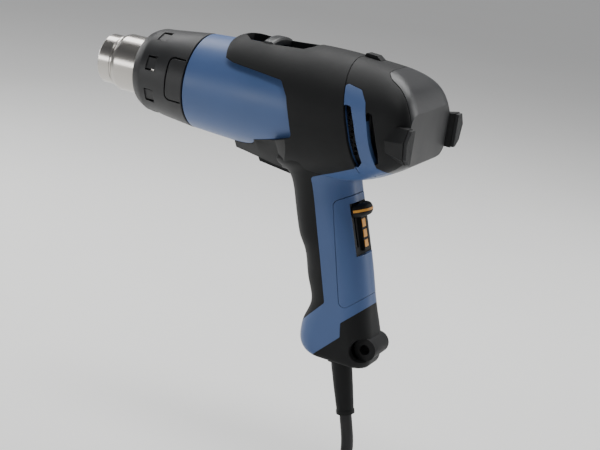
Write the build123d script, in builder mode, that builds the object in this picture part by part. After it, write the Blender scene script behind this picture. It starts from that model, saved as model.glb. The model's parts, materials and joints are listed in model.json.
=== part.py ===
from build123d import *
import math
import os

os.makedirs("parts", exist_ok=True)

# Hot-air gun, millimetres. +X is the way the air leaves, +Y the tool's left side, +Z up.
# The origin is the middle of the grip, on the handle's centre line.

# Driving dimensions
AXIS_Z = 90.0            # height of the barrel's axis over the grip centre
TIP_X = 190.0            # front rim of the outlet tube
SEAT_R = 17.0            # 34 mm accessory seat
SEAT_END_X = 181.0
TUBE_R = 19.65
COLLAR_FRONT_X = 157.0
SEAM_X = 113.0           # joint between collar and housing
SEAM_R = 32.2
CONE_END_X = 20.0
CONE_END_R = 37.3
CONE_WALL = 2.5
FEET_X = -55.0           # plane of the two rear feet
LEAN = 17.8              # the handle leans back from upright, degrees
COAT = 2.4               # thickness of the soft black layer
WALL = 4.6               # outer surface to the inside of the housing
GAP = 0.3
REACH = 70.0             # half width of the cutting prisms

# Barrel stations: x, half width, height over the axis, depth under it, corner radius
BARREL_STATIONS = [
    (91.5, 33.2, 34.4, 33.2, 32.8),
    (87.5, 35.0, 37.4, 36.4, 34.4),
    (80.0, 35.8, 38.9, 37.8, 34.8),
    (60.0, 37.2, 39.3, 40.6, 36.0),
    (33.0, 39.2, 40.4, 43.5, 37.0),
    (5.0, 40.0, 40.0, 42.0, 37.0),
    (-15.0, 40.0, 38.3, 37.0, 34.0),
    (-28.0, 39.8, 36.2, 31.5, 30.0),
    (-37.0, 39.6, 32.2, 26.3, 23.5),
    (-43.5, 38.7, 27.0, 22.3, 18.5),
    (-47.6, 36.8, 21.0, 19.6, 14.5),
    (-50.0, 34.6, 16.0, 17.6, 11.5),
]

# Handle stations: distance up the handle, front, rear, half width, corner radius, extra tilt
HANDLE_STATIONS = [
    (68.0, 29.0, 40.0, 30.0, 27.0, 0.0),
    (58.0, 22.6, 28.0, 26.0, 21.0, 0.0),
    (50.0, 20.8, 23.4, 22.0, 18.5, 0.0),
    (38.0, 21.2, 22.4, 20.4, 17.5, 0.0),
    (20.0, 21.7, 22.8, 19.9, 17.0, 0.0),
    (12.5, 21.2, 22.8, 19.7, 16.8, 0.0),
    (6.0, 19.6, 22.8, 19.4, 16.5, 0.0),
    (-15.0, 19.8, 22.4, 19.0, 16.0, 0.0),
    (-33.0, 20.4, 21.4, 18.6, 15.5, 2.0),
    (-44.0, 26.6, 20.8, 18.8, 14.5, 6.0),
    (-55.0, 30.5, 20.6, 19.0, 13.5, 10.0),
    (-63.0, 31.5, 19.5, 18.8, 12.5, 14.0),
    (-70.0, 29.6, 17.0, 17.4, 11.0, 17.8),
    (-72.5, 26.0, 13.5, 14.6, 8.5, 17.8),
]

sin_lean = math.sin(math.radians(LEAN))
cos_lean = math.cos(math.radians(LEAN))
handle_plane = Plane(
    origin=(0, 0, 0), x_dir=(cos_lean, 0, -sin_lean), z_dir=(sin_lean, 0, cos_lean)
)


def on_handle(up, forward=0.0, side=0.0):
    """A point given along the handle, forward of its centre line and to the left."""
    return Vector(
        up * sin_lean + forward * cos_lean, side, up * cos_lean - forward * sin_lean
    )


def barrel_form(inset):
    """The barrel's outer form, drawn in by inset."""
    with BuildPart() as form:
        last = len(BARREL_STATIONS) - 1
        for number, (x, half_width, top, bottom, corner) in enumerate(BARREL_STATIONS):
            shift = inset if number == last else (inset * 0.6 if number == last - 1 else 0.0)
            with BuildSketch(Plane.YZ.offset(x + shift)):
                with Locations((0, AXIS_Z + (top - bottom) / 2)):
                    RectangleRounded(
                        2 * (half_width - inset), top + bottom - 2 * inset, corner - inset
                    )
        loft()
    return form.part


def handle_form(inset):
    """The handle's outer form, drawn in by inset, flaring where it meets the barrel."""
    with BuildPart() as form:
        last = len(HANDLE_STATIONS) - 1
        for number, (up, front, rear, half_width, corner, tilt) in enumerate(HANDLE_STATIONS):
            turn = math.radians(LEAN - tilt)
            centre = on_handle(up, (front - rear) / 2)
            lift = inset if number == last else (inset * 0.6 if number == last - 1 else 0.0)
            plane = Plane(
                origin=centre + Vector(0, 0, lift),
                x_dir=(math.cos(turn), 0, -math.sin(turn)),
                z_dir=(math.sin(turn), 0, math.cos(turn)),
            )
            with BuildSketch(plane):
                RectangleRounded(
                    front + rear - 2 * inset, 2 * (half_width - inset), corner - inset
                )
        loft()
    return form.part


def side_prism(points, radius=0.0, low=-REACH, high=REACH):
    """A prism through the tool whose side outline, in X and Z, has these corners."""
    with BuildPart() as prism:
        with BuildSketch(Plane.XZ.offset(-high)):
            with BuildLine():
                if radius:
                    FilletPolyline(*points, radius=radius, close=True)
                else:
                    Polyline(*points, close=True)
            make_face()
        extrude(amount=high - low)
    return prism.part


def turned(points, radius=0.0):
    """A ring turned about the barrel's axis from its corners, given as X and radius."""
    with BuildPart() as ring:
        with BuildSketch(Plane.XZ):
            with BuildLine():
                if radius:
                    FilletPolyline(*[(x, AXIS_Z + r) for x, r in points], radius=radius, close=True)
                else:
                    Polyline(*[(x, AXIS_Z + r) for x, r in points], close=True)
            make_face()
        revolve(axis=Axis((0, 0, AXIS_Z), (1, 0, 0)))
    return ring.part


def write(part, name):
    part.label = name
    export_step(part, f"parts/{name}.step")



# ---------------------------------------------------------------- side outlines of the regions
SEAM_TOP = (2.0, 131.0)
SEAM_FOOT = (-18.0, 65.5)
CORNER_R = 3.0


def seam_x(z):
    """X of the slanted joint between the body and the rear covers, at height z."""
    run = (SEAM_TOP[0] - SEAM_FOOT[0]) / (SEAM_TOP[1] - SEAM_FOOT[1])
    return SEAM_FOOT[0] + (z - SEAM_FOOT[1]) * run


WINDOW = [
    (130.0, 114.4), (84.6, 114.4), (78.0, 112.7), (40.0, 109.6), (33.5, 101.0),
    (25.8, 76.0), (41.0, 70.3), (58.0, 65.6), (79.5, 58.8), (80.5, 30.0), (130.0, 30.0),
]
COAT_SIDE = [
    (91.5, 140.0), (seam_x(140.0), 140.0), SEAM_FOOT, (0.0, 57.0), (15.8, 50.0),
    (-5.2, -31.5), (13.0, -51.5), (80.0, -60.0), (84.0, 20.0), (84.5, 114.0), (88.5, 121.5),
    (91.5, 128.0),
]
REAR_SIDE = [
    (seam_x(140.0), 140.0), (seam_x(68.0), 68.0), (-31.7, 68.8), (-39.0, 65.5), (-60.0, 58.0),
    (-60.0, 140.0),
]
STRIPE = [
    (seam_x(117.0), 117.0), (-14.5, 114.8), (-19.6, 108.5), (-23.1, 97.7), (-26.6, 85.0),
    (-31.7, 68.8), (-24.0, 60.0), (-12.0, 60.0), (-12.0, 85.0),
]
FRONT_SLOT = [
    (seam_x(105.0) + 0.6, 105.0), (-11.0, 104.4), (-14.6, 96.0), (-20.2, 78.5), (-22.4, 70.6),
    (-19.4, 66.0), (seam_x(67.0) + 0.6, 67.0),
]
REAR_SLOT = [
    (-21.7, 103.4), (-26.0, 102.4), (-29.5, 92.7), (-33.5, 79.5), (-33.4, 72.2),
    (-30.6, 71.0), (-26.6, 85.0), (-23.1, 97.7),
]
HEEL = [
    (-50.0, -15.0), (-33.0, -28.4), (-18.6, -41.7), (-19.8, -51.2), (0.5, -71.5), (0.5, -90.0),
    (-60.0, -90.0),
]
PANEL = [
    (-0.4, 37.2), (-16.2, -34.2), (-40.0, -14.5), (-22.0, 48.4),
]

outer_handle = handle_form(0.0)

# The chin under the front cone narrows to a blunt keel: cheeks cut away on both sides.
# Each section is x, then half width and depth where the coat ends, then those of the keel.
CHIN_STATIONS = [
    (86.0, 8.8, 33.0, 5.5, 38.4),
    (58.0, 25.6, 24.4, 8.5, 41.2),
    (41.0, 30.9, 19.7, 12.0, 43.2),
    (25.0, 42.0, 14.5, 32.0, 50.0),
]
with BuildPart() as cheek:
    for x, edge_y, edge_depth, keel_y, keel_depth in CHIN_STATIONS:
        with BuildSketch(Plane.YZ.offset(x)):
            Polygon(
                (edge_y, AXIS_Z - edge_depth), (REACH, AXIS_Z - edge_depth), (REACH, AXIS_Z - 60),
                (keel_y, AXIS_Z - 60), (keel_y, AXIS_Z - keel_depth), align=None,
            )
    loft(ruled=True)
with BuildPart() as trimmed_barrel:
    add(barrel_form(0.0))
    add(cheek.part, mode=Mode.SUBTRACT)
    with BuildPart(mode=Mode.PRIVATE) as other_cheek:
        add(cheek.part)
        mirror(about=Plane.XZ, mode=Mode.REPLACE)
    add(other_cheek.part, mode=Mode.SUBTRACT)
    add(side_prism([(62.6, 56.0), (62.6, 49.4), (61.4, 47.4), (34.0, 43.8), (34.0, 56.0)], 0.0, -7.0, 7.0))
outer_barrel = trimmed_barrel.part
with BuildPart() as outer:
    add(outer_barrel)
    add(outer_handle)
with BuildPart() as under_coat:
    add(barrel_form(COAT))
    add(side_prism([(28, 200), (28, -120), (-120, -120), (-120, 200)]), mode=Mode.INTERSECT)
    with BuildPart(mode=Mode.PRIVATE) as grip_core:
        add(handle_form(COAT))
        add(side_prism([(34, 200), (34, -120), (-120, -120), (-120, 200)]), mode=Mode.INTERSECT)
    add(grip_core.part)
cone = turned([
    (SEAM_X - 0.6, 0.0), (SEAM_X - 0.6, SEAM_R - 0.6), (SEAM_X - 1.2, SEAM_R),
    (CONE_END_X, CONE_END_R), (CONE_END_X, 0.0),
])
with BuildPart() as hollow:
    add(barrel_form(WALL))
    add(handle_form(WALL))
    add(side_prism([(24, 200), (24, -120), (-120, -120), (-120, 200)]), mode=Mode.INTERSECT)
    add(turned([
        (SEAM_X, 0.0), (SEAM_X, SEAM_R - CONE_WALL), (CONE_END_X, CONE_END_R - CONE_WALL),
        (CONE_END_X, 0.0),
    ]))

window = side_prism(WINDOW, CORNER_R)
coat_side = side_prism(COAT_SIDE, 2.5)
rear_side = side_prism(REAR_SIDE)
stripe = side_prism(STRIPE, 2.0)
front_slot = side_prism(FRONT_SLOT, 1.8)
rear_slot = side_prism(REAR_SLOT, 1.2)
heel = side_prism(HEEL, 1.5)

with BuildPart() as coat_region:
    add(coat_side)
    add(window, mode=Mode.SUBTRACT)

with BuildPart() as rear_region:
    add(rear_side)
    add(stripe, mode=Mode.SUBTRACT)
    add(front_slot, mode=Mode.SUBTRACT)

left_half = side_prism([(-120, -200), (260, -200), (260, 200), (-120, 200)], low=0.0)

# Top air vents: an opening over the motor, crossed by a raised bridge
VENT_FRONT_X, VENT_REAR_X, VENT_HALF = 84.0, 33.5, 14.0
with BuildPart() as vent_cut:
    with BuildSketch(Plane.XY.offset(AXIS_Z + 20)):
        with BuildLine():
            FilletPolyline(
                (VENT_FRONT_X, -VENT_HALF + 8), (VENT_FRONT_X, VENT_HALF - 8),
                (VENT_FRONT_X - 8, VENT_HALF), (VENT_REAR_X + 4, VENT_HALF),
                (VENT_REAR_X, VENT_HALF - 6), (VENT_REAR_X, -VENT_HALF + 6),
                (VENT_REAR_X + 4, -VENT_HALF), (VENT_FRONT_X - 8, -VENT_HALF),
                radius=2.0, close=True,
            )
        make_face()
    extrude(amount=40)

# Rear hood: the middle of the rear end, between the feet, as its plan outline
HOOD_PLAN = [
    (-24.5, -17.0), (-24.5, 17.0), (-28.5, 22.5), (-38.0, 27.5), (-46.0, 32.0), (-60.0, 36.0),
    (-60.0, -36.0), (-46.0, -32.0), (-38.0, -27.5), (-28.5, -22.5),
]
with BuildPart() as hood_cut:
    with BuildSketch(Plane.XY.offset(60.0)):
        with BuildLine():
            FilletPolyline(*HOOD_PLAN, radius=3.0, close=True)
        make_face()
    extrude(amount=80.0)

# Fine grooves that mark the joints between coat, rear covers and hood
GROOVE_HALF, GROOVE_DEPTH = 0.25, 0.9
with BuildPart() as grooves:
    add(side_prism([
        (seam_x(140.0) - GROOVE_HALF, 140.0), (seam_x(140.0) + GROOVE_HALF, 140.0),
        (seam_x(62.0) + GROOVE_HALF, 62.0), (seam_x(62.0) - GROOVE_HALF, 62.0),
    ]))
    with BuildSketch(Plane.XY.offset(60.0)):
        with BuildLine():
            FilletPolyline(*HOOD_PLAN, radius=3.0, close=True)
        make_face()
        offset(amount=GROOVE_HALF)
        with BuildLine():
            FilletPolyline(*[(x, y * 0.99) for x, y in HOOD_PLAN], radius=3.0, close=True)
        make_face(mode=Mode.SUBTRACT)
    extrude(amount=80.0)
    add(barrel_form(GROOVE_DEPTH), mode=Mode.SUBTRACT)

# Slide switch opening across the rear of the handle
SLOT_LOW, SLOT_HIGH, SLOT_HALF = -3.4, 31.6, 12.0
SLOT_FLOOR = -20.0
SLOT_DEPTH_BOX = 20.0
with BuildPart() as switch_cut:
    with BuildSketch(handle_plane.offset(SLOT_LOW)):
        with Locations((SLOT_FLOOR + 4.5 - SLOT_DEPTH_BOX / 2, 0)):
            Rectangle(SLOT_DEPTH_BOX, 2 * SLOT_HALF)
    extrude(amount=SLOT_HIGH - SLOT_LOW)


def mirrored(part):
    """The right-hand twin of a left-hand piece."""
    with BuildPart() as twin:
        add(part)
        mirror(about=Plane.XZ, mode=Mode.REPLACE)
    return twin.part


def both_sides(name, part):
    write(part, "left_" + name)
    write(mirrored(part), "right_" + name)


def rod(start, end, radius, inner=0.0):
    """A round bar, or a tube with an inner radius, between two points."""
    start, end = Vector(*start), Vector(*end)
    with BuildPart() as bar:
        with BuildSketch(Plane(origin=start, z_dir=end - start)):
            Circle(radius)
            if inner:
                Circle(inner, mode=Mode.SUBTRACT)
        extrude(amount=(end - start).length)
    return bar.part


def handle_block(low, high, rear, front, half_width, inner_half=0.0):
    """A block in the handle: up the handle from low to high, fore-aft, and either side."""
    with BuildPart() as block:
        with BuildSketch(handle_plane.offset(low)):
            with Locations(((rear + front) / 2, 0)):
                Rectangle(front - rear, 2 * half_width)
                if inner_half:
                    Rectangle(front - rear, 2 * inner_half, mode=Mode.SUBTRACT)
        extrude(amount=high - low)
    return block.part


def in_hollow(part):
    """The piece trimmed to the inside of the housing."""
    with BuildPart() as fitted:
        add(part)
        add(hollow.part, mode=Mode.INTERSECT)
    return fitted.part


def cone_wall(x):
    """Inner radius of the housing's front cone at x."""
    return CONE_END_R - (x - CONE_END_X) * (CONE_END_R - SEAM_R) / (SEAM_X - CONE_END_X) - CONE_WALL


# ---------------------------------------------------------------- screws
SCREWS = [  # X, Z and the depth of the head's seat from the middle plane
    (70.0, 68.0, 19.5),
    (28.5, 114.0, 22.0),
    (on_handle(50.0, 13.5).X, on_handle(50.0, 13.5).Z, 12.0),
    (on_handle(-31.0, 11.5).X, on_handle(-31.0, 11.5).Z, 9.5),
    (on_handle(-52.0, 19.0).X, on_handle(-52.0, 19.0).Z, 10.5),
]
BOSS_R, SHANK_R, WELL_R, HEAD_R = 4.0, 1.6, 3.4, 3.1

# ---------------------------------------------------------------- housing and its soft coat
with BuildPart() as housing_shell:
    add(outer.part)
    add(coat_region.part, mode=Mode.SUBTRACT)
    add(window, mode=Mode.SUBTRACT)
    add(rear_region.part, mode=Mode.SUBTRACT)
    add(heel, mode=Mode.SUBTRACT)
    add(side_prism([(28, 200), (28, -120), (-120, -120), (-120, 200)]), mode=Mode.INTERSECT)
    add(front_slot, mode=Mode.SUBTRACT)
with BuildPart() as coated_core:
    add(under_coat.part)
    add(coat_region.part, mode=Mode.INTERSECT)
with BuildPart() as panel_pocket:
    add(side_prism(PANEL, 4.0))
    add(handle_form(2.1), mode=Mode.SUBTRACT)
with BuildPart() as boss_room:
    add(under_coat.part)
    add(cone)
with BuildPart() as left_housing:
    add(housing_shell.part)
    add(coated_core.part)
    add(cone)
    add(hollow.part, mode=Mode.SUBTRACT)
    with BuildPart(mode=Mode.PRIVATE) as bosses:
        for x, z, seat in SCREWS:
            add(rod((x, 0, z), (x, seat + 2.0, z), BOSS_R))
        add(boss_room.part, mode=Mode.INTERSECT)
    add(bosses.part)
    for x, z, seat in SCREWS:
        add(rod((x, 0, z), (x, seat - 4.0, z), SHANK_R), mode=Mode.SUBTRACT)
    add(grooves.part, mode=Mode.SUBTRACT)
    add(vent_cut.part, mode=Mode.SUBTRACT)
    add(switch_cut.part, mode=Mode.SUBTRACT)
    add(panel_pocket.part, mode=Mode.SUBTRACT)
    add(left_half, mode=Mode.INTERSECT)
with BuildPart() as left_coat:
    add(outer.part)
    add(coat_region.part, mode=Mode.INTERSECT)
    add(under_coat.part, mode=Mode.SUBTRACT)
    add(cone, mode=Mode.SUBTRACT)
    add(hollow.part, mode=Mode.SUBTRACT)
    add(vent_cut.part, mode=Mode.SUBTRACT)
    add(grooves.part, mode=Mode.SUBTRACT)
    add(left_half, mode=Mode.INTERSECT)
with BuildPart() as wells:
    for x, z, seat in SCREWS:
        add(rod((x, -REACH, z), (x, -seat, z), WELL_R))
        add(rod((x, -REACH, z), (x, 0, z), SHANK_R))
with BuildPart() as right_housing:
    add(left_housing.part)
    mirror(about=Plane.XZ, mode=Mode.REPLACE)
    add(wells.part, mode=Mode.SUBTRACT)
with BuildPart() as right_coat:
    add(left_coat.part)
    mirror(about=Plane.XZ, mode=Mode.REPLACE)
    add(wells.part, mode=Mode.SUBTRACT)
write(left_housing.part, "left_housing")
write(right_housing.part, "right_housing")
write(left_coat.part, "left_soft_coat")
write(right_coat.part, "right_soft_coat")

with BuildPart() as screws:
    for x, z, seat in SCREWS:
        add(rod((x, -seat, z), (x, -seat - 2.0, z), HEAD_R))
        add(rod((x, -seat, z), (x, seat - 5.0, z), SHANK_R - 0.05))
        with BuildSketch(Plane(origin=(x, -seat - 2.0, z), z_dir=(0, -1, 0))):
            Rectangle(3.6, 0.9)
            Rectangle(0.9, 3.6)
        extrude(amount=-1.1, mode=Mode.SUBTRACT)
write(screws.part, "housing_screws")

with BuildPart() as handle_panel:
    add(outer.part)
    add(side_prism([(x + dx, z + dz) for (x, z), (dx, dz) in zip(
        PANEL, [(-GAP, -GAP), (-GAP, GAP), (0, 2 * GAP), (0, -2 * GAP)])], 3.8), mode=Mode.INTERSECT)
    add(handle_form(2.0), mode=Mode.SUBTRACT)
    add(outer_barrel, mode=Mode.SUBTRACT)
    add(switch_cut.part, mode=Mode.SUBTRACT)
    add(left_half, mode=Mode.INTERSECT)
both_sides("handle_panel", handle_panel.part)

# ---------------------------------------------------------------- rear covers, hood and feet
FOOT_REAR = [(36.9, 99.4), (44.0, 99.8), (49.0, 91.8), (46.6, 81.0), (41.0, 77.0), (36.9, 76.6)]
FOOT_ROOT = [(28.0, 98.0), (35.0, 97.4), (37.6, 88.0), (36.4, 82.0), (33.0, 80.0), (28.0, 79.0)]
PAD = 2.2
with BuildPart() as foot_form:
    for x, outline in ((-33.0, FOOT_ROOT), (FEET_X + PAD, FOOT_REAR)):
        with BuildSketch(Plane.YZ.offset(x)):
            Polygon(*outline, align=None)
    loft(ruled=True)
with BuildPart() as left_rear:
    add(outer.part)
    add(rear_region.part, mode=Mode.INTERSECT)
    add(hollow.part, mode=Mode.SUBTRACT)
    add(rear_slot, mode=Mode.SUBTRACT)
    add(hood_cut.part, mode=Mode.SUBTRACT)
    add(grooves.part, mode=Mode.SUBTRACT)
    add(left_half, mode=Mode.INTERSECT)
    with BuildPart(mode=Mode.PRIVATE) as foot_root:
        add(foot_form.part)
        add(hollow.part, mode=Mode.SUBTRACT)
    add(foot_root.part)
both_sides("rear_cover", left_rear.part)
with BuildPart() as foot_pad:
    with BuildSketch(Plane.YZ.offset(FEET_X)):
        Polygon(*FOOT_REAR, align=None)
        offset(amount=-0.6, kind=Kind.INTERSECTION)
    extrude(amount=PAD)
both_sides("foot_pad", foot_pad.part)
with BuildPart() as hood:
    add(outer.part)
    add(rear_region.part, mode=Mode.INTERSECT)
    add(hollow.part, mode=Mode.SUBTRACT)
    add(hood_cut.part, mode=Mode.INTERSECT)
    with BuildPart(mode=Mode.PRIVATE) as both_feet:
        add(foot_form.part)
        mirror(about=Plane.XZ)
    add(both_feet.part, mode=Mode.SUBTRACT)
    add(grooves.part, mode=Mode.SUBTRACT)
write(hood.part, "rear_hood")
with BuildPart() as cover_tab:
    add(side_prism([(1.8, 128.0), (0.6, 131.9), (-7.0, 131.4), (-11.5, 128.0)], 0.0, -8.0, -0.6))
    fillet(cover_tab.edges().filter_by(Axis.Y).sort_by(Axis.Z)[-2:], 0.8)
    add(outer.part, mode=Mode.SUBTRACT)
write(cover_tab.part, "cover_tab")

# ---------------------------------------------------------------- end cap with the hanging eye
EYE_X, EYE_Z, EYE_R, EYE_LUG_R, EYE_HALF = -35.6, -57.6, 3.5, 7.6, 11.5
BOOT_TOP = Vector(-12.7, 0.0, -60.9)
BOOT_LEAN = 14.1
boot_dir = Vector(-math.sin(math.radians(BOOT_LEAN)), 0, -math.cos(math.radians(BOOT_LEAN)))
CORD_D = 8.5
CORD_R = CORD_D / 2
BOOT_LENGTH = 50.6
BOOT_R = 7.0
BOOT_FLANGE_R = 9.2
FLANGE_TOP, FLANGE_FOOT = 8.0, 13.0
CORD_TOP = 10.0          # how far the cord runs on above the strain relief's datum
boot_end = BOOT_TOP + boot_dir * BOOT_LENGTH


def boot_point(along):
    return BOOT_TOP + boot_dir * along


with BuildPart() as end_cap:
    add(outer.part)
    add(heel, mode=Mode.INTERSECT)
    add(hollow.part, mode=Mode.SUBTRACT)
    for side in (1, -1):
        add(rod((EYE_X, side * EYE_HALF, EYE_Z), (EYE_X, side * 30, EYE_Z), EYE_LUG_R + 0.4),
            mode=Mode.SUBTRACT)
    add(rod((EYE_X, -EYE_HALF, EYE_Z), (EYE_X, EYE_HALF, EYE_Z), EYE_LUG_R))
    add(rod((EYE_X, -EYE_HALF, EYE_Z), (EYE_X, EYE_HALF, EYE_Z), EYE_R), mode=Mode.SUBTRACT)
    add(rod(boot_point(0.0), boot_point(FLANGE_FOOT), BOOT_FLANGE_R), mode=Mode.SUBTRACT)
    add(rod(boot_point(6.0), boot_point(30.0), BOOT_R), mode=Mode.SUBTRACT)
write(end_cap.part, "end_cap")

# ---------------------------------------------------------------- top vents
BRIDGE_X, BRIDGE_LENGTH, BRIDGE_TOP_R, BRIDGE_UNDER_R = 59.4, 7.6, 40.4, 35.2
with BuildPart() as vent_bridge:
    with BuildSketch(Plane.YZ.offset(BRIDGE_X)):
        with Locations((0, AXIS_Z)):
            Circle(BRIDGE_TOP_R)
            Circle(BRIDGE_UNDER_R, mode=Mode.SUBTRACT)
        with Locations((0, AXIS_Z + 38.0)):
            Rectangle(2 * VENT_HALF, 20.0, mode=Mode.INTERSECT)
    extrude(amount=BRIDGE_LENGTH)
    fillet(vent_bridge.edges().filter_by(GeomType.CIRCLE).sort_by(SortBy.RADIUS)[-2:], 1.8)
write(vent_bridge.part, "vent_bridge")
with BuildPart() as vent_screen:
    add(turned([
        (34.0, cone_wall(34.0)), (85.0, cone_wall(85.0)), (85.0, cone_wall(85.0) - 1.0),
        (34.0, cone_wall(34.0) - 1.0),
    ]))
    add(side_prism([(30, 200), (30, AXIS_Z), (90, AXIS_Z), (90, 200)], 0.0, -17.0, 17.0),
        mode=Mode.INTERSECT)
    with BuildSketch(Plane.XY.offset(AXIS_Z)):
        with Locations((59.5, 0)):
            with GridLocations(4.2, 0, 11, 1):
                SlotOverall(29.0, 2.2, rotation=90)
    extrude(amount=60.0, mode=Mode.SUBTRACT)
write(vent_screen.part, "vent_screen")

# ---------------------------------------------------------------- outlet tube, collar and heater
with BuildPart() as outlet_tube:
    add(turned([
        (TIP_X, 15.7), (TIP_X, 16.5), (TIP_X - 0.6, SEAT_R), (SEAT_END_X, SEAT_R),
        (SEAT_END_X - 0.5, 16.5), (SEAT_END_X - 1.5, 16.5), (SEAT_END_X - 2.0, 17.3),
        (SEAT_END_X - 3.6, 18.9), (SEAT_END_X - 6.0, TUBE_R), (105.0, TUBE_R), (105.0, 18.7),
        (174.6, 18.7), (176.6, 18.0), (178.4, 16.2), (179.4, 15.7),
    ]))
write(outlet_tube.part, "outlet_tube")

COLLAR_BACK_X = SEAM_X
SPIGOT_X = 106.5
with BuildPart() as collar:
    with BuildSketch(Plane.XZ):
        with BuildLine():
            Line((COLLAR_FRONT_X - 2.0, AXIS_Z + 20.6), (COLLAR_FRONT_X, AXIS_Z + 20.6))
            Line((COLLAR_FRONT_X, AXIS_Z + 20.6), (COLLAR_FRONT_X, AXIS_Z + 22.6))
            Spline(
                (COLLAR_FRONT_X, AXIS_Z + 22.6), (COLLAR_FRONT_X - 2.2, AXIS_Z + 25.6),
                (COLLAR_FRONT_X - 6.0, AXIS_Z + 27.6), (COLLAR_FRONT_X - 20.0, AXIS_Z + 29.6),
                tangents=[(-0.2, 1.0), (-1.0, 0.13)],
            )
            Line((COLLAR_FRONT_X - 20.0, AXIS_Z + 29.6), (COLLAR_BACK_X + 0.5, AXIS_Z + SEAM_R))
            Line((COLLAR_BACK_X + 0.5, AXIS_Z + SEAM_R), (COLLAR_BACK_X + 0.1, AXIS_Z + SEAM_R - 0.5))
            Polyline(
                (COLLAR_BACK_X + 0.1, AXIS_Z + SEAM_R - 0.5), (COLLAR_BACK_X + 0.1, AXIS_Z + 29.3),
                (SPIGOT_X, AXIS_Z + 29.3), (SPIGOT_X, AXIS_Z + 27.4),
                (COLLAR_FRONT_X - 20.0, AXIS_Z + 27.2), (COLLAR_FRONT_X - 6.4, AXIS_Z + 25.3),
                (COLLAR_FRONT_X - 2.6, AXIS_Z + 22.6), (COLLAR_FRONT_X - 2.0, AXIS_Z + 20.6),
            )
        make_face()
    revolve(axis=Axis((0, 0, AXIS_Z), (1, 0, 0)))
    # Shallow windows with a cooling slit at each long edge, in a ring behind the shoulder
    for number in range(8):
        turn = 18.5 + 45.0 * number
        for slit in (-8.8, 8.8):
            with BuildSketch(Plane(origin=(140.5, 0, AXIS_Z), z_dir=(
                    0, math.cos(math.radians(turn + slit)), math.sin(math.radians(turn + slit))),
                    x_dir=(1, 0, 0))):
                SlotOverall(7.6, 1.0)
            extrude(amount=40.0, mode=Mode.SUBTRACT)
        with BuildSketch(Plane(origin=(140.5, 0, AXIS_Z), z_dir=(
                0, math.cos(math.radians(turn)), math.sin(math.radians(turn))),
                x_dir=(1, 0, 0)).offset(28.0)):
            RectangleRounded(7.4, 8.0, 0.8)
        extrude(amount=10.0, mode=Mode.SUBTRACT)
    # A springy tongue on each side, cut free on three sides
    for side in (1, -1):
        with BuildSketch(Plane(origin=(0, 0, AXIS_Z), z_dir=(0, side, 0), x_dir=(1, 0, 0)).offset(20.0)):
            with Locations((COLLAR_BACK_X + 3.0, 2.0 if side < 0 else -2.0)):
                RectangleRounded(22.4, 29.2, 4.0)
                RectangleRounded(20.4, 27.2, 3.2, mode=Mode.SUBTRACT)
            with Locations((COLLAR_BACK_X - 8.0, 0)):
                Rectangle(18.0, 60.0, mode=Mode.SUBTRACT)
        extrude(amount=20.0, mode=Mode.SUBTRACT)
write(collar.part, "front_collar")

MOUNT_X = 99.0
MICA_R = 15.4
CORE_R = 14.8
WIRE_HOLE_R = 2.7
write(turned([(105.0, 24.0), (149.0, 24.0), (149.0, 24.7), (105.0, 24.7)]), "heat_shield")
write(turned([(MOUNT_X, CORE_R), (182.5, CORE_R), (182.5, MICA_R), (MOUNT_X, MICA_R)]), "mica_sleeve")
write(turned([
    (MOUNT_X, MICA_R), (105.0, MICA_R), (105.0, cone_wall(105.0)), (MOUNT_X, cone_wall(MOUNT_X)),
]), "heater_mount")
write(turned([
    (MOUNT_X, 20.0), (MOUNT_X, 21.5), (86.5, cone_wall(86.5)), (86.0, cone_wall(86.0)),
    (86.0, cone_wall(86.0) - 1.5),
]), "air_duct")

CORE_DISCS = [112.0, 133.0, 154.0, 175.0]
with BuildPart() as heater_core:
    add(rod((109.0, 0, AXIS_Z), (178.0, 0, AXIS_Z), 4.2))
    for x in CORE_DISCS:
        with BuildSketch(Plane.YZ.offset(x)):
            with Locations((0, AXIS_Z)):
                Circle(CORE_R)
                with PolarLocations(9.4, 6):
                    Circle(WIRE_HOLE_R, mode=Mode.SUBTRACT)
        extrude(amount=3.0)
    add(rod((108.0, 0, AXIS_Z), (180.0, 0, AXIS_Z), 1.5), mode=Mode.SUBTRACT)
write(heater_core.part, "heater_core")
with BuildPart() as coils:
    with BuildSketch(Plane.YZ.offset(111.0)):
        with Locations((0, AXIS_Z)):
            with PolarLocations(9.4, 6):
                Circle(WIRE_HOLE_R)
                Circle(WIRE_HOLE_R - 0.7, mode=Mode.SUBTRACT)
    extrude(amount=68.0)
write(coils.part, "heating_coils")
write(rod((107.0, 0, AXIS_Z), (180.0, 0, AXIS_Z), 1.5), "temperature_probe")

# ---------------------------------------------------------------- motor and fan
SHAFT_R = 1.5
BEARING_R = 4.0
with BuildPart() as motor_can:
    add(turned([
        (8.0, BEARING_R), (8.0, 14.0), (48.0, 14.0), (48.0, BEARING_R), (46.4, BEARING_R),
        (46.4, 12.9), (9.6, 12.9), (9.6, BEARING_R),
    ]))
    with BuildSketch(Plane.YZ.offset(5.0)):
        with Locations((0, AXIS_Z)):
            with PolarLocations(9.0, 4, start_angle=45):
                Circle(2.4)
    extrude(amount=50.0, mode=Mode.SUBTRACT)
write(motor_can.part, "motor_can")
with BuildPart() as magnets:
    add(turned([(12.0, 11.9), (42.0, 11.9), (42.0, 12.9), (12.0, 12.9)]))
    with BuildSketch(Plane.YZ.offset(10.0)):
        with Locations((0, AXIS_Z)):
            Rectangle(7.0, 40.0)
    extrude(amount=34.0, mode=Mode.SUBTRACT)
write(magnets.part, "motor_magnets")
with BuildPart() as bearings:
    for x in (7.4, 46.0):
        add(turned([(x, SHAFT_R + 0.04), (x + 2.6, SHAFT_R + 0.04), (x + 2.6, BEARING_R), (x, BEARING_R)]))
write(bearings.part, "motor_bearings")
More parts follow.
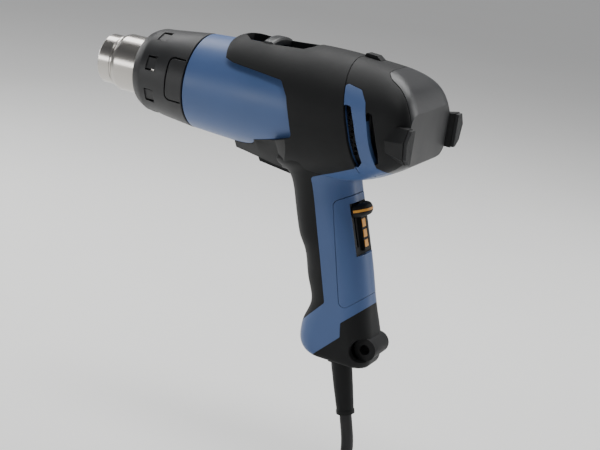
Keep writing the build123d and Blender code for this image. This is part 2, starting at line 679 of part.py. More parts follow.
with BuildPart() as armature:
    add(turned([(14.0, SHAFT_R), (40.0, SHAFT_R), (40.0, 11.2), (14.0, 11.2)]))
    with BuildSketch(Plane.YZ.offset(13.0)):
        with Locations((0, AXIS_Z)):
            with PolarLocations(10.0, 8):
                Rectangle(4.0, 2.2, mode=Mode.ADD)
    extrude(amount=28.0, mode=Mode.SUBTRACT)
write(armature.part, "armature")
write(turned([(41.0, SHAFT_R), (45.0, SHAFT_R), (45.0, 5.0), (41.0, 5.0)]), "commutator")
write(rod((-21.0, 0, AXIS_Z), (50.0, 0, AXIS_Z), SHAFT_R), "motor_shaft")

FAN_R = 26.5
with BuildPart() as fan:
    add(turned([(-20.0, SHAFT_R), (-20.0, 4.5), (-5.0, 7.0), (-5.0, FAN_R), (-3.4, FAN_R), (-3.4, SHAFT_R)]))
    with BuildSketch(Plane.YZ.offset(-18.0)):
        with Locations((0, AXIS_Z)):
            with PolarLocations(16.5, 11):
                Rectangle(19.6, 1.3, rotation=24.0)
    extrude(amount=13.2)
    add(turned([(-20, 27.6), (0, 27.6), (0, 60), (-20, 60)]), mode=Mode.SUBTRACT)
    add(turned([(-19.2, 14.0), (-18.0, 14.0), (-18.0, FAN_R), (-19.2, FAN_R)]))
write(fan.part, "fan_wheel")
with BuildPart() as motor_holder:
    with BuildSketch(Plane.YZ.offset(14.0)):
        with Locations((0, AXIS_Z)):
            Circle(60.0)
            Circle(30.5, mode=Mode.SUBTRACT)
            Circle(16.4)
            Rectangle(64.0, 4.0)
            Rectangle(4.0, 64.0)
            Circle(14.0, mode=Mode.SUBTRACT)
    extrude(amount=6.0)
    add(hollow.part, mode=Mode.INTERSECT)
    add(side_prism([(0, 59), (0, 20), (40, 20), (40, 59)]), mode=Mode.SUBTRACT)
write(motor_holder.part, "motor_holder")
write(in_hollow(turned([(-24.0, 13.0), (-22.4, 13.0), (-22.4, 60.0), (-24.0, 60.0)])), "fan_inlet_plate")
with BuildPart() as screen:
    add(barrel_form(WALL))
    add(barrel_form(WALL + 1.0), mode=Mode.SUBTRACT)
    add(side_prism([
        (-7.0, 106.0), (-21.9, 106.0), (-21.9, 68.0), (-14.0, 68.0)], 0.0, 10.0, REACH),
        mode=Mode.INTERSECT)
    with BuildSketch(Plane.XZ.offset(-REACH)):
        with Locations((-15.0, AXIS_Z - 1.5)):
            with GridLocations(3.4, 3.4, 4, 9):
                RegularPolygon(1.2, 6)
    extrude(amount=REACH - 10.0, mode=Mode.SUBTRACT)
both_sides("intake_screen", screen.part)

# ---------------------------------------------------------------- slide switch
PLATE_REAR, PLATE_FRONT = SLOT_FLOOR, -18.3
RIB_HALF, RIB_REAR = 3.0, -22.4
KNOB_LOW, KNOB_HIGH = 21.8, 30.4
KNOB_CENTRE, KNOB_R = -18.0, 11.3
LEG_INNER, LEG_OUTER = 7.2, 8.8
with BuildPart() as switch_plate:
    add(handle_block(SLOT_LOW, SLOT_HIGH, PLATE_REAR, PLATE_FRONT, SLOT_HALF))
    add(handle_block(-1.0, 31.0, RIB_REAR, PLATE_REAR, RIB_HALF))
    for side in (1, -1):
        with BuildSketch(handle_plane.offset(2.0)):
            with Locations((PLATE_REAR, side * (LEG_INNER + LEG_OUTER) / 2)):
                Rectangle(10.0, LEG_OUTER - LEG_INNER + 0.6)
        extrude(amount=28.6, mode=Mode.SUBTRACT)
write(switch_plate.part, "switch_plate")
with BuildPart() as marks:
    for low, high in ((1.2, 5.8), (7.6, 12.6), (14.4, 19.8)):
        add(handle_block(low, high, RIB_REAR - 0.35, RIB_REAR, RIB_HALF - 0.5))
write(marks.part, "position_marks")


def knob_disc(low, high, radius):
    with BuildPart() as disc:
        with BuildSketch(handle_plane.offset(low)):
            with Locations((KNOB_CENTRE, 0)):
                Circle(radius)
        extrude(amount=high - low)
    return disc.part


RING_LOW, RING_HIGH = 25.3, 26.9
with BuildPart() as ring:
    add(knob_disc(RING_LOW, RING_HIGH, KNOB_R + 0.25))
    add(knob_disc(RING_LOW, RING_HIGH, KNOB_R - 0.9), mode=Mode.SUBTRACT)
    add(handle_block(20.0, 32.0, -40.0, PLATE_REAR - 1.2, 20.0), mode=Mode.INTERSECT)
write(ring.part, "knob_ring")
with BuildPart() as knob:
    add(knob_disc(KNOB_LOW, KNOB_HIGH, KNOB_R))
    fillet(knob.edges(), 3.4)
    add(handle_block(20.0, 32.0, -40.0, PLATE_REAR - 0.3, 20.0), mode=Mode.INTERSECT)
    add(handle_block(20.0, 32.0, RIB_REAR - 0.8, -10.0, RIB_HALF + 0.4), mode=Mode.SUBTRACT)
    add(handle_block(24.0, 28.0, PLATE_REAR - 0.3, -15.6, LEG_OUTER, LEG_INNER))
    add(handle_block(24.0, 28.0, -15.6, -13.8, LEG_OUTER))
    add(ring.part, mode=Mode.SUBTRACT)
write(knob.part, "switch_knob")
write(handle_block(-6.0, 34.0, -13.4, -4.4, 10.0), "switch_body")

# ---------------------------------------------------------------- electronics in the handle
BOARD_REAR, BOARD_FRONT = -4.4, -2.8
write(in_hollow(handle_block(-18.0, 48.0, BOARD_REAR, BOARD_FRONT, 18.0)), "circuit_board")
with BuildPart() as capacitors:
    for up, side in ((41.0, 6.0), (41.0, -6.0), (-11.0, 0.0)):
        add(rod(on_handle(up, BOARD_FRONT, side), on_handle(up, 8.0, side), 4.6))
write(capacitors.part, "capacitors")
with BuildPart() as sink:
    add(handle_block(6.0, 30.0, BOARD_FRONT, -1.2, 9.0))
    for fin in range(5):
        add(handle_block(6.0 + 5.5 * fin, 8.0 + 5.5 * fin, -1.2, 9.0, 9.0))
write(sink.part, "heat_sink")
TERMINAL_LOW, TERMINAL_HIGH = -40.0, -27.0
with BuildPart() as terminals:
    add(in_hollow(handle_block(TERMINAL_LOW, TERMINAL_HIGH, -9.0, 3.0, 18.0)))
    for side in (-4.5, 4.5):
        add(rod(on_handle(-33.5, -12.0, side), on_handle(-33.5, -5.0, side), 2.0), mode=Mode.SUBTRACT)
write(terminals.part, "terminal_block")
with BuildPart() as terminal_screws:
    for side in (-4.5, 4.5):
        add(rod(on_handle(-33.5, -8.4, side), on_handle(-33.5, -5.0, side), 2.0))
write(terminal_screws.part, "terminal_screws")
with BuildPart() as leads:
    for side in (-4.5, 4.5):
        add(rod(on_handle(TERMINAL_HIGH, -3.6, side), on_handle(-18.0, -3.6, side), 0.9))
        add(rod(on_handle(48.0, -3.6, side), on_handle(59.0, -3.6, side), 0.9))
        add(rod(on_handle(-51.0, 5.6, side / 2.8), on_handle(TERMINAL_LOW - 0.8, -1.0, side), 0.9))
write(leads.part, "internal_leads")

# ---------------------------------------------------------------- cord, strain relief and plug
with BuildPart() as boot:
    with BuildSketch(Plane.XZ):
        with BuildLine():
            Polyline(
                (CORD_R, 3.0), (5.6, 3.0), (5.6, FLANGE_TOP), (BOOT_FLANGE_R, FLANGE_TOP),
                (BOOT_FLANGE_R, FLANGE_FOOT), (BOOT_R, FLANGE_FOOT), (BOOT_R, 18.0), (6.6, 32.0),
                (5.9, 47.6), (6.3, 48.2), (6.3, BOOT_LENGTH), (CORD_R, BOOT_LENGTH), close=True,
            )
        make_face()
    revolve(axis=Axis.Z)
write(Plane(origin=BOOT_TOP, z_dir=boot_dir).location * boot.part, "strain_relief")
with BuildPart() as clamp:
    with BuildSketch(Plane(origin=boot_point(-7.0), x_dir=(0, 1, 0), z_dir=boot_dir)):
        Rectangle(60.0, 13.0)
        Circle(CORD_R, mode=Mode.SUBTRACT)
    extrude(amount=5.0)
write(in_hollow(clamp.part), "cord_clamp")

FLOOR_Z = -207.5
LIE_Z = FLOOR_Z + CORD_R
CORD_ROUTE = [
    tuple(boot_end),
    tuple(boot_point(BOOT_LENGTH + 27.0)),
    (-28.0, 1.0, -163.0),
    (-13.6, 4.5, -185.6),
    (8.6, 10.0, -199.6),
    (34.0, 14.0, LIE_Z),
]


def corner_radii(points):
    """The radius of each arc: as large as its two runs allow."""
    radii = []
    for before, here, after in zip(points, points[1:], points[2:]):
        into, out = Vector(*here) - Vector(*before), Vector(*after) - Vector(*here)
        turn = math.radians(into.get_angle(out))
        radii.append(0.45 * min(into.length, out.length) / math.tan(turn / 2))
    return radii


cord_radii = corner_radii(CORD_ROUTE)
print("cord arcs", [round(radius, 1) for radius in cord_radii])
with BuildPart() as cord:
    with BuildLine() as path:
        Line(boot_point(-CORD_TOP), boot_end)
        FilletPolyline(*CORD_ROUTE, radius=cord_radii)
    with BuildSketch(Plane(origin=boot_point(-CORD_TOP), z_dir=boot_dir)):
        Circle(CORD_R)
    sweep(path=path.wires()[0])
write(cord.part, "supply_cord")

# The put-away length, wound in a neat coil that lies on the floor, and tied once
COIL_X, COIL_Y = 34.0, 61.0
COIL_INNER, COIL_OUTER, COIL_HEIGHT = 34.6, 60.4, 24.0
TIE_T = 1.0
TIE_WIDTH = 12.0
COIL_LOW = FLOOR_Z + TIE_T
COIL_MEAN = (COIL_INNER + COIL_OUTER) / 2
coil_axis = Axis((COIL_X, COIL_Y, 0), (0, 0, 1))


def coil_ring(grow, cut, arc):
    """The coil's section turned about its axis, grown and cut out for the tie."""
    with BuildPart() as ring:
        with BuildSketch(Plane.XZ.offset(-COIL_Y)):
            with Locations((COIL_X + COIL_MEAN, COIL_LOW + COIL_HEIGHT / 2)):
                RectangleRounded(
                    COIL_OUTER - COIL_INNER + 2 * grow, COIL_HEIGHT + 2 * grow, 7.0 + grow)
                if cut:
                    RectangleRounded(COIL_OUTER - COIL_INNER, COIL_HEIGHT, 7.0, mode=Mode.SUBTRACT)
        revolve(axis=coil_axis, revolution_arc=arc)
    return ring.part


write(coil_ring(0.0, False, 360.0), "cord_coil")
write(coil_ring(TIE_T, True, math.degrees(TIE_WIDTH / COIL_MEAN)).rotate(coil_axis, -30.0), "cord_tie")

# Two-pin plug lying on the coil
PLUG_Y = 101.0
PLUG_FACE_X, PLUG_NECK_X, PLUG_REAR_X = -9.0, 12.0, 38.0
PLUG_R, PLUG_HALF = 19.0, 13.0
PLUG_Z = COIL_LOW + COIL_HEIGHT + PLUG_HALF
PIN_R, PIN_LENGTH, PIN_SPACING = 2.4, 19.0, 19.0


with BuildPart() as plug:
    with BuildSketch(Plane.YZ.offset(PLUG_NECK_X)):
        with Locations((PLUG_Y, PLUG_Z)):
            Circle(PLUG_R)
            Rectangle(4 * PLUG_R, 2 * PLUG_HALF, mode=Mode.INTERSECT)
    extrude(amount=PLUG_FACE_X - PLUG_NECK_X)
    for x, radius, half in ((PLUG_NECK_X, PLUG_R, PLUG_HALF), (PLUG_REAR_X, 9.0, 7.0)):
        with BuildSketch(Plane.YZ.offset(x)):
            with Locations((PLUG_Y, PLUG_Z)):
                Circle(radius)
                Rectangle(4 * radius, 2 * half, mode=Mode.INTERSECT)
    loft(ruled=True)
    add(rod((PLUG_REAR_X, PLUG_Y, PLUG_Z), (PLUG_REAR_X + 12.0, PLUG_Y, PLUG_Z), 6.4))
write(plug.part, "plug_body")
with BuildPart() as pins:
    for side in (-0.5, 0.5):
        y = PLUG_Y + side * PIN_SPACING
        add(rod((PLUG_FACE_X, y, PLUG_Z), (PLUG_FACE_X - PIN_LENGTH, y, PLUG_Z), PIN_R))
    fillet(pins.faces().sort_by(Axis.X)[:2].edges(), 1.2)
write(pins.part, "plug_pins")
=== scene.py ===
import json
import math
import bmesh
import bpy
from mathutils import Matrix, Vector


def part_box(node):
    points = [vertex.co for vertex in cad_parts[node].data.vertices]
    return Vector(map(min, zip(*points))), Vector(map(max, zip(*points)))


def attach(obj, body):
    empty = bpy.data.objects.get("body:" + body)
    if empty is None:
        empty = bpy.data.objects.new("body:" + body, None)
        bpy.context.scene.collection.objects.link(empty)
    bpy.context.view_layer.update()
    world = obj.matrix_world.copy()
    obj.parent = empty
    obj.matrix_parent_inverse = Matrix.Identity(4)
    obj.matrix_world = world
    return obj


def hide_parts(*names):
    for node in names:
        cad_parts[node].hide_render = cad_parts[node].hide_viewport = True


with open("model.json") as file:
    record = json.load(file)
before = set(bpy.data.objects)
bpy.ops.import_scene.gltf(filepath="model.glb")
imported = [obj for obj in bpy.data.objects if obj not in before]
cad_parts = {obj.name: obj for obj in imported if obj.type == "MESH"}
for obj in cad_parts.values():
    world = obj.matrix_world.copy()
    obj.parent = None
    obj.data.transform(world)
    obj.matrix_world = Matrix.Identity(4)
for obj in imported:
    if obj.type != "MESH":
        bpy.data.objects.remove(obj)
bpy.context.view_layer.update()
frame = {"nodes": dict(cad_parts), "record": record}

nodes = frame["nodes"]
mm = 0.001

# one place for the studio: floor height, camera and lights
studio = {
    "floorHeight": -0.2075,
    "floorHalfSize": 6.0,
    "floorColour": "#dcdcda", "floorDust": "#e4e4e2", "dustScale": 4.0, "floorRough": 0.9,
    "cameraPlace": (-0.3417, 0.8152, 0.2736),
    "cameraRight": (-0.8837, -0.4467, 0.1399),
    "cameraUp": (0.2485, -0.1944, 0.9489),
    "cameraAhead": (0.3967, -0.8733, -0.2828),
    "lens": 84.0, "filmWidth": 36.0, "nearest": 0.05,
    "lights": [  # name, place, aim, size across and down, watts
        ("farOverhead", (0.25, -0.60, 1.05), (0.08, 0.0, 0.06), (1.8, 0.45), 20.0),
        ("nearOverhead", (0.0, 0.45, 1.30), (0.04, 0.0, 0.0), (0.9, 0.3), 8.5),
        ("sideFill", (0.98, 1.20, 0.16), (0.12, 0.0, 0.08), (0.55, 0.35), 3.5),
        ("farRear", (-0.80, -0.95, 0.45), (-0.03, 0.0, 0.07), (0.35, 0.8), 4.0),
        ("mouthSide", (1.15, -0.30, 0.30), (0.12, 0.0, 0.08), (0.25, 0.6), 4.0),
    ],
    "floorGlow": 0.24,   # a lit table, as in a product studio
    "roomLow": "#97989a", "roomHigh": "#5c5d5f",   # walls at table height, and ceiling
    "roomFade": 0.7,   # how far up the walls reach the ceiling's tone
}


def linear(hexColour):
    channels = [int(hexColour[i:i + 2], 16) / 255 for i in (1, 3, 5)]
    return [c / 12.92 if c <= 0.04045 else ((c + 0.055) / 1.055) ** 2.4 for c in channels] + [1.0]


def addNode(tree, kind, settings=None, **links):
    # settings are the node's own options, links are input name = value or another node's output
    node = tree.nodes.new(kind)
    for key, value in (settings or {}).items():
        setattr(node, key, value)
    for key, value in links.items():
        socket = node.inputs[int(key[1:]) if key[0] == "_" else key.replace("_", " ")]
        if isinstance(value, bpy.types.NodeSocket):
            tree.links.new(value, socket)
        else:
            socket.default_value = value
    return node


def startMaterial(name):
    material = bpy.data.materials.new(name)
    material.use_nodes = True
    tree = material.node_tree
    tree.nodes.clear()
    shader = addNode(tree, "ShaderNodeBsdfPrincipled")
    out = addNode(tree, "ShaderNodeOutputMaterial")
    tree.links.new(shader.outputs[0], out.inputs[0])
    place = addNode(tree, "ShaderNodeTexCoord").outputs["Object"]
    return material, tree, shader, place


def connect(tree, source, shader, name):
    tree.links.new(source, shader.inputs[name])


def moulded(name, look):
    # mould grain, a cloudy tone from handling, and softened edges
    material, tree, shader, place = startMaterial(name)
    cloud = addNode(tree, "ShaderNodeTexNoise", Vector=place, Scale=1000 / look["cloud"], Detail=3.0)
    tone = addNode(tree, "ShaderNodeMix", {"data_type": "RGBA"}, _0=cloud.outputs[0],
                   _6=linear(look["dark"]), _7=linear(look["light"]))
    connect(tree, tone.outputs[2], shader, "Base Color")
    grain = addNode(tree, "ShaderNodeTexNoise", Vector=place, Scale=1000 / look["grain"], Detail=2.0)
    if look.get("pebbles"):
        grain = addNode(tree, "ShaderNodeTexVoronoi", {"feature": "SMOOTH_F1"}, Vector=place,
                        Scale=1000 / look["grain"])
    sheen = addNode(tree, "ShaderNodeMapRange", None, Value=cloud.outputs[0], _1=0.3, _2=0.7,
                    _3=look["rough"] - look["roughSpread"], _4=look["rough"] + look["roughSpread"])
    connect(tree, sheen.outputs[0], shader, "Roughness")
    edge = addNode(tree, "ShaderNodeBevel", {"samples": 4}, Radius=look["edge"] * mm)
    bump = addNode(tree, "ShaderNodeBump", None, Height=grain.outputs[0], Strength=look["relief"],
                   Distance=look["depth"] * mm, Normal=edge.outputs[0])
    connect(tree, bump.outputs[0], shader, "Normal")
    shader.inputs["IOR"].default_value = look["ior"]
    shader.inputs["Specular IOR Level"].default_value = look.get("specular", 0.5)
    if look.get("coat"):
        shader.inputs["Coat Weight"].default_value = look["coat"]
        shader.inputs["Coat Roughness"].default_value = look["coatRough"]
    return material


def metal(name, look):
    # fine lines left by brushing or turning about the barrel, over slow stains
    material, tree, shader, place = startMaterial(name)
    axes = addNode(tree, "ShaderNodeSeparateXYZ", None, Vector=place)
    lines = addNode(tree, "ShaderNodeTexNoise", {"noise_dimensions": "1D"}, W=axes.outputs[0],
                    Scale=1000 / look["line"], Detail=4.0)
    stains = addNode(tree, "ShaderNodeTexNoise", None, Vector=place, Scale=1000 / look["stain"], Detail=4.0)
    tone = addNode(tree, "ShaderNodeMix", {"data_type": "RGBA"}, _0=stains.outputs[0],
                   _6=linear(look["dark"]), _7=linear(look["light"]))
    connect(tree, tone.outputs[2], shader, "Base Color")
    shader.inputs["Metallic"].default_value = look.get("metallic", 1.0)
    sheen = addNode(tree, "ShaderNodeMapRange", None, Value=lines.outputs[0], _1=0.3, _2=0.7,
                    _3=look["rough"] - look["roughSpread"], _4=look["rough"] + look["roughSpread"])
    connect(tree, sheen.outputs[0], shader, "Roughness")
    edge = addNode(tree, "ShaderNodeBevel", {"samples": 4}, Radius=look["edge"] * mm)
    bump = addNode(tree, "ShaderNodeBump", None, Height=lines.outputs[0], Strength=look["relief"],
                   Distance=look["depth"] * mm, Normal=edge.outputs[0])
    connect(tree, bump.outputs[0], shader, "Normal")
    return material


# plastics and rubbers: colours, then sizes in millimetres
mouldings = {
    "blueAbs": {  # spark-eroded mould texture, semi-gloss
        "dark": "#405780", "light": "#496292", "cloud": 45.0, "grain": 0.55, "depth": 0.05, "relief": 0.35,
        "rough": 0.40, "roughSpread": 0.05, "edge": 0.5, "ior": 1.53, "specular": 0.38},
    "softTouchElastomer": {  # matte overmould with a fine dry stipple
        "dark": "#0d0e0f", "light": "#131415", "cloud": 30.0, "grain": 0.7, "depth": 0.10, "relief": 0.45,
        "rough": 0.62, "roughSpread": 0.06, "edge": 0.7, "ior": 1.5, "specular": 0.28},
    "matteNylon": {  # the same nylon from a dull mould
        "dark": "#0d0e0f", "light": "#131415", "cloud": 30.0, "grain": 0.6, "depth": 0.06, "relief": 0.4,
        "rough": 0.58, "roughSpread": 0.05, "edge": 0.6, "ior": 1.5, "specular": 0.26},
    # painted highlight: this base colour is lighter than the same nylon on the covers, to stand in for the
    # lit top of the hood
    "satinNylonPaintedHighlight": {  # glass-filled nylon, smooth enough to show a grey highlight, with its base painted paler than matteNylon, the same nylon, as a painted highlight
        "dark": "#1e1f21", "light": "#252628", "cloud": 35.0, "grain": 0.5, "depth": 0.05, "relief": 0.3,
        "rough": 0.38, "roughSpread": 0.05, "edge": 0.6, "ior": 1.53, "specular": 0.4},
    "heatProofNylon": {  # dry, slightly pale matte plastic
        "dark": "#101113", "light": "#161719", "cloud": 25.0, "grain": 0.6, "depth": 0.06, "relief": 0.4,
        "rough": 0.50, "roughSpread": 0.05, "edge": 0.6, "ior": 1.53},
    "stippledRubber": {  # pads with moulded pips, greyed by standing on benches
        "dark": "#1c1d1e", "light": "#2b2c2e", "cloud": 6.0, "grain": 1.3, "depth": 0.35, "relief": 0.9,
        "rough": 0.75, "roughSpread": 0.08, "edge": 0.5, "ior": 1.5, "pebbles": True},
    "orangeAbs": {
        "dark": "#e0952c", "light": "#eda843", "cloud": 8.0, "grain": 0.4, "depth": 0.03, "relief": 0.2,
        "rough": 0.42, "roughSpread": 0.05, "edge": 0.2, "ior": 1.53},
    "naturalNylon": {
        "dark": "#c9c4b4", "light": "#dcd8ca", "cloud": 18.0, "grain": 0.5, "depth": 0.04, "relief": 0.2,
        "rough": 0.45, "roughSpread": 0.06, "edge": 0.3, "ior": 1.53},
    "cordierite": {  # unglazed ceramic former, chalky
        "dark": "#d3cdbd", "light": "#e7e2d5", "cloud": 9.0, "grain": 0.35, "depth": 0.08, "relief": 0.5,
        "rough": 0.85, "roughSpread": 0.05, "edge": 0.3, "ior": 1.6},
    "micaSheet": {  # pressed flakes, amber and silvery
        "dark": "#8f7440", "light": "#c5ab74", "cloud": 3.0, "grain": 1.5, "depth": 0.05, "relief": 0.5,
        "rough": 0.32, "roughSpread": 0.12, "edge": 0.2, "ior": 1.56, "pebbles": True},
    "solderMask": {
        "dark": "#214a2e", "light": "#2f6540", "cloud": 2.5, "grain": 0.8, "depth": 0.04, "relief": 0.3,
        "rough": 0.28, "roughSpread": 0.06, "edge": 0.2, "ior": 1.5},
    "shrinkSleeve": {
        "dark": "#191c23", "light": "#232833", "cloud": 7.0, "grain": 1.5, "depth": 0.05, "relief": 0.3,
        "rough": 0.25, "roughSpread": 0.05, "edge": 0.4, "ior": 1.5},
    "siliconeLead": {
        "dark": "#6b3d22", "light": "#80502f", "cloud": 5.0, "grain": 0.6, "depth": 0.05, "relief": 0.3,
        "rough": 0.5, "roughSpread": 0.05, "edge": 0.2, "ior": 1.43},
    "cordRubber": {  # matte sheath with a faint talc bloom
        "dark": "#111113", "light": "#19191b", "cloud": 12.0, "grain": 0.5, "depth": 0.06, "relief": 0.4,
        "rough": 0.58, "roughSpread": 0.08, "edge": 0.2, "ior": 1.5},
}
metals = {
    "brushedStainless": {  # turned and brushed, faintly straw-coloured from heat
        "dark": "#a9a6a2", "light": "#c4c0ba", "stain": 40.0, "line": 0.35, "depth": 0.004, "relief": 0.10,
        "rough": 0.24, "roughSpread": 0.03, "edge": 0.3},
    "zincPlatedSteel": {
        "dark": "#84878b", "light": "#a4a7aa", "stain": 9.0, "line": 1.2, "depth": 0.02, "relief": 0.2,
        "rough": 0.34, "roughSpread": 0.06, "edge": 0.3},
    "oxidisedNichrome": {
        "dark": "#4d463f", "light": "#70675c", "stain": 4.0, "line": 1.1, "depth": 0.5, "relief": 0.9,
        "rough": 0.5, "roughSpread": 0.1, "edge": 0.1},
    "nickelPlatedBrass": {
        "dark": "#c2b68f", "light": "#d8cda8", "stain": 7.0, "line": 0.9, "depth": 0.01, "relief": 0.2,
        "rough": 0.22, "roughSpread": 0.05, "edge": 0.2},
    "copperWinding": {
        "dark": "#8d4f26", "light": "#c4793f", "stain": 2.0, "line": 0.8, "depth": 0.3, "relief": 0.7,
        "rough": 0.34, "roughSpread": 0.07, "edge": 0.3},
    "extrudedAluminium": {
        "dark": "#a3a6a9", "light": "#bcbfc2", "stain": 14.0, "line": 0.6, "depth": 0.02, "relief": 0.3,
        "rough": 0.36, "roughSpread": 0.06, "edge": 0.3},
}
finish = {name: moulded(name, look) for name, look in mouldings.items()}
finish.update({name: metal(name, look) for name, look in metals.items()})
print("finishes made:", len(finish))

# the record's slots, each with its finish
slotFinish = {
    "blue_body": "blueAbs", "soft_black": "softTouchElastomer", "dark_cover": "satinNylonPaintedHighlight",
    "collar_plastic": "heatProofNylon", "grey_rubber": "stippledRubber", "stainless": "brushedStainless",
    "steel": "zincPlatedSteel", "mica": "micaSheet", "ceramic": "cordierite", "nichrome": "oxidisedNichrome",
    "orange": "orangeAbs", "board_green": "solderMask", "capacitor_sleeve": "shrinkSleeve",
    "aluminium": "extrudedAluminium", "pale_nylon": "naturalNylon", "copper": "copperWinding",
    "lead_insulation": "siliconeLead", "cord_rubber": "cordRubber", "plated_brass": "nickelPlatedBrass",
}
pieceFinish = {"left_rear_cover": "matteNylon", "right_rear_cover": "matteNylon", "cover_tab": "matteNylon"}
for part in frame["record"]["subparts"]:
    mesh = nodes[part["node"]].data
    mesh.materials.clear()
    chosen = pieceFinish.get(part["node"], slotFinish[part["material_slot"]])
    mesh.materials.append(finish[chosen])

# supply cord: straight out of the sleeve, down, onto the floor and round the coil
cordValues = {
    "diameter": 8.5 * mm,
    "length": 2.2,
    "exit": (-25.0 * mm, 0.0, -110.0 * mm),
    "route": [  # millimetres, inside the sleeve first
        (-19.4, 0.0, -87.7), (-25.0, 0.0, -110.0), (-31.6, 0.0, -136.2),
        (-28.0, 1.0, -163.0), (-15.6, 3.0, -187.6), (6.6, 4.6, -203.2)],
    "coilCentre": (34.0, 61.0),
    "turns": [  # radius and height over the floor of each turn, the first is the outermost
        (56.1, 4.3), (47.5, 4.3), (38.9, 4.3), (43.2, 12.4), (51.8, 12.4), (47.5, 20.5), (52.0, 20.5)],
    "lastTurn": 0.28,
    "plugEnd": [(85.0, 74.0, -184.0), (74.0, 92.0, -175.5), (62.0, 101.0, -169.5), (50.0, 101.0, -169.5),
                (40.0, 101.0, -169.5)],
    "pointsPerTurn": 12, "stepPoints": 3,   # a turn's last points lead over to the next
    "cornerCut": 0.966,   # how near a quadratic spline comes to its points on a turn
}


def coilPoints(values, floor):
    # each turn keeps its radius, then steps to the next over its last points
    turns, count, lead = values["turns"], values["pointsPerTurn"], values["stepPoints"]
    points = []
    for number, (radius, height) in enumerate(turns):
        after = turns[min(number + 1, len(turns) - 1)]
        steps = count if number < len(turns) - 1 else int(count * values["lastTurn"])
        for step in range(steps):
            angle = 2 * math.pi * step / count - math.pi / 2
            shift = max(0.0, (step - (count - lead)) / lead)
            grown = (radius + (after[0] - radius) * shift) / values["cornerCut"]
            points.append((
                values["coilCentre"][0] + grown * math.cos(angle),
                values["coilCentre"][1] + grown * math.sin(angle),
                floor / mm + height + (after[1] - height) * shift))
    return points


def makeCord(values, floor):
    curve = bpy.data.curves.new("supplyCord", "CURVE")
    curve.dimensions = "3D"
    curve.bevel_depth = values["diameter"] / 2
    curve.bevel_resolution = 5
    curve.resolution_u = 8
    curve.use_fill_caps = True
    points = values["route"] + coilPoints(values, floor) + values["plugEnd"]
    spline = curve.splines.new("NURBS")
    spline.points.add(len(points) - 1)
    for point, place in zip(spline.points, points):
        point.co = (*(Vector(place) * mm), 1.0)
    spline.order_u = 3
    spline.use_endpoint_u = True
    cord = bpy.data.objects.new("supplyCord", curve)
    bpy.context.collection.objects.link(cord)
    curve.materials.append(finish["cordRubber"])
    return cord


# heating coils: open spirals of wire through the former's holes
coilValues = {
    "spirals": 6, "holeCircle": 9.4 * mm, "radius": 2.2 * mm, "wire": 0.35 * mm, "turns": 28, "steps": 10}


def makeHeatingCoils(values):
    low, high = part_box("heating_coils")
    middle = (low[2] + high[2]) / 2
    curve = bpy.data.curves.new("heatingCoils", "CURVE")
    curve.dimensions = "3D"
    curve.bevel_depth = values["wire"]
    curve.bevel_resolution = 1
    total = values["turns"] * values["steps"]
    for number in range(values["spirals"]):
        around = 2 * math.pi * number / values["spirals"]
        centreY = values["holeCircle"] * math.cos(around)
        centreZ = middle + values["holeCircle"] * math.sin(around)
        spline = curve.splines.new("POLY")
        spline.points.add(total)
        for step, point in enumerate(spline.points):
            turn = 2 * math.pi * step / values["steps"]
            along = low[0] + (high[0] - low[0]) * step / total
            point.co = (along, centreY + values["radius"] * math.cos(turn),
                        centreZ + values["radius"] * math.sin(turn), 1.0)
    coils = bpy.data.objects.new("heatingCoils", curve)
    bpy.context.collection.objects.link(coils)
    curve.materials.append(finish["oxidisedNichrome"])
    return coils


heatingCoils = makeHeatingCoils(coilValues)
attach(heatingCoils, "body")
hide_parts("heating_coils")
print("heating coils wound")

# plug: a moulded body with a waisted, ribbed grip and a grooved sleeve
plugValues = {
    "sections": [  # along the plug from its face, then half width and half height, in millimetres
        (0.0, 17.6, 11.8), (0.5, 18.6, 12.6), (1.6, 19.0, 13.0), (17.0, 19.0, 13.0), (20.0, 18.4, 12.5)],
    "ribs": 7, "ribStart": 21.0, "ribEnd": 46.0, "ribDepth": 0.7,
    "gripWide": (18.0, 12.2), "gripNarrow": (8.2, 6.6),
    "sleeve": 6.2, "sleeveRings": 3, "sleeveDepth": 0.7, "sleeveGap": 1.0,
    "corners": 40, "squareness": 2.7, "rowsPerRib": 4,
}


def plugSections(values, length):
    rows = list(values["sections"])
    steps = values["ribs"] * values["rowsPerRib"]
    for step in range(steps + 1):
        part = step / steps
        ease = part * part * (3 - 2 * part)
        groove = values["ribDepth"] * (0.5 - 0.5 * math.cos(2 * math.pi * values["ribs"] * part))
        wide, tall = (a + (b - a) * ease - groove for a, b in zip(values["gripWide"], values["gripNarrow"]))
        rows.append((values["ribStart"] + (values["ribEnd"] - values["ribStart"]) * part, wide, tall))
    start = values["ribEnd"] + values["sleeveGap"]
    steps = values["sleeveRings"] * values["rowsPerRib"]
    for step in range(steps + 1):
        turn = 2 * math.pi * values["sleeveRings"] * step / steps
        groove = values["sleeveDepth"] * (0.5 - 0.5 * math.cos(turn))
        size = values["sleeve"] - groove
        rows.append((start + (length - start) * step / steps, size, size))
    return rows


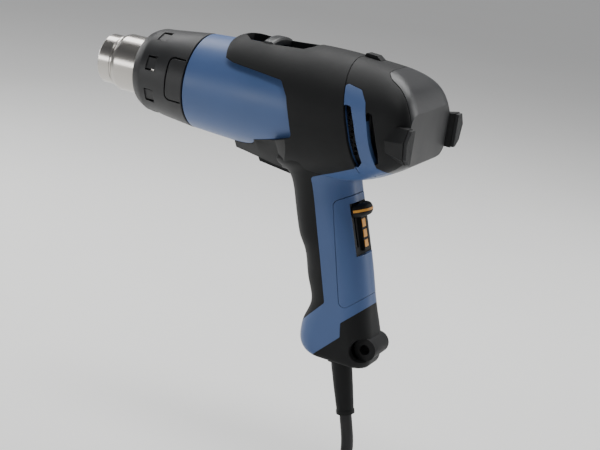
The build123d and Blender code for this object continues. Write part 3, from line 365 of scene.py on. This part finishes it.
def makePlug(values):
    low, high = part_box("plug_body")
    centreY, centreZ = (low[1] + high[1]) / 2, (low[2] + high[2]) / 2
    rows = plugSections(values, (high[0] - low[0]) / mm)
    form = bmesh.new()
    rings = []
    for along, wide, tall in rows:
        ring = []
        for corner in range(values["corners"]):
            angle = 2 * math.pi * corner / values["corners"]
            power = 2 / values["squareness"]
            ring.append(form.verts.new((
                low[0] + along * mm,
                centreY + math.copysign(abs(math.cos(angle)) ** power, math.cos(angle)) * wide * mm,
                centreZ + math.copysign(abs(math.sin(angle)) ** power, math.sin(angle)) * tall * mm)))
        rings.append(ring)
    for first, second in zip(rings, rings[1:]):
        for index in range(len(first)):
            following = (index + 1) % len(first)
            form.faces.new((first[index], first[following], second[following], second[index]))
    form.faces.new(rings[0][::-1])
    form.faces.new(rings[-1])
    bmesh.ops.recalc_face_normals(form, faces=form.faces)
    for face in form.faces:
        face.smooth = len(face.verts) == 4
    mesh = bpy.data.meshes.new("plugBody")
    form.to_mesh(mesh)
    form.free()
    plug = bpy.data.objects.new("plugBody", mesh)
    bpy.context.collection.objects.link(plug)
    mesh.materials.append(finish["cordRubber"])
    return plug


plugBody = makePlug(plugValues)
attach(plugBody, "body")
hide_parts("plug_body")

supplyCord = makeCord(cordValues, studio["floorHeight"])
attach(supplyCord, "body")
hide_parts("supply_cord", "cord_coil")
print("cord laid and plug made")

# floor, camera and lights
floorMesh = bpy.data.meshes.new("floor")
form = bmesh.new()
bmesh.ops.create_grid(form, x_segments=1, y_segments=1, size=studio["floorHalfSize"])
form.to_mesh(floorMesh)
form.free()
floor = bpy.data.objects.new("floor", floorMesh)
floor.location.z = studio["floorHeight"]
bpy.context.collection.objects.link(floor)
material, tree, shader, place = startMaterial("paleFloor")
dust = addNode(tree, "ShaderNodeTexNoise", Vector=place, Scale=studio["dustScale"], Detail=2.0)
tone = addNode(tree, "ShaderNodeMix", {"data_type": "RGBA"}, _0=dust.outputs[0],
               _6=linear(studio["floorColour"]), _7=linear(studio["floorDust"]))
connect(tree, tone.outputs[2], shader, "Base Color")
shader.inputs["Roughness"].default_value = studio["floorRough"]
shader.inputs["Emission Color"].default_value = linear("#ffffff")
shader.inputs["Emission Strength"].default_value = studio["floorGlow"]
floorMesh.materials.append(material)

camera = bpy.data.objects.new("camera", bpy.data.cameras.new("camera"))
bpy.context.collection.objects.link(camera)
camera.data.lens = studio["lens"]
camera.data.sensor_width = studio["filmWidth"]
camera.data.clip_start = studio["nearest"]
right, up, ahead = (Vector(studio[key]).normalized() for key in ("cameraRight", "cameraUp", "cameraAhead"))
turned = Matrix((right, up, -ahead)).transposed().to_4x4()
camera.matrix_world = Matrix.Translation(studio["cameraPlace"]) @ turned
bpy.context.scene.camera = camera

for name, placeAt, aim, size, watts in studio["lights"]:
    lamp = bpy.data.lights.new(name, "AREA")
    lamp.shape = "RECTANGLE"
    lamp.size, lamp.size_y = size
    lamp.energy = watts
    light = bpy.data.objects.new(name, lamp)
    light.location = placeAt
    light.rotation_euler = (Vector(aim) - Vector(placeAt)).to_track_quat("-Z", "Y").to_euler()
    bpy.context.collection.objects.link(light)

# the room: paler walls under a darker ceiling, so that the steel tube shows bands
world = bpy.data.worlds.new("room")
bpy.context.scene.world = world
world.use_nodes = True
tree = world.node_tree
tree.nodes.clear()
toward = addNode(tree, "ShaderNodeTexCoord").outputs["Generated"]
height = addNode(tree, "ShaderNodeSeparateXYZ", None, Vector=toward)
ramp = addNode(tree, "ShaderNodeValToRGB", None, Fac=height.outputs[2])
ramp.color_ramp.elements[0].position = 0.0
ramp.color_ramp.elements[0].color = linear(studio["roomLow"])
ramp.color_ramp.elements[1].position = studio["roomFade"]
ramp.color_ramp.elements[1].color = linear(studio["roomHigh"])
sky = addNode(tree, "ShaderNodeBackground", None, Color=ramp.outputs[0], Strength=1.0)
out = addNode(tree, "ShaderNodeOutputWorld", None, Surface=sky.outputs[0])
print("studio ready")
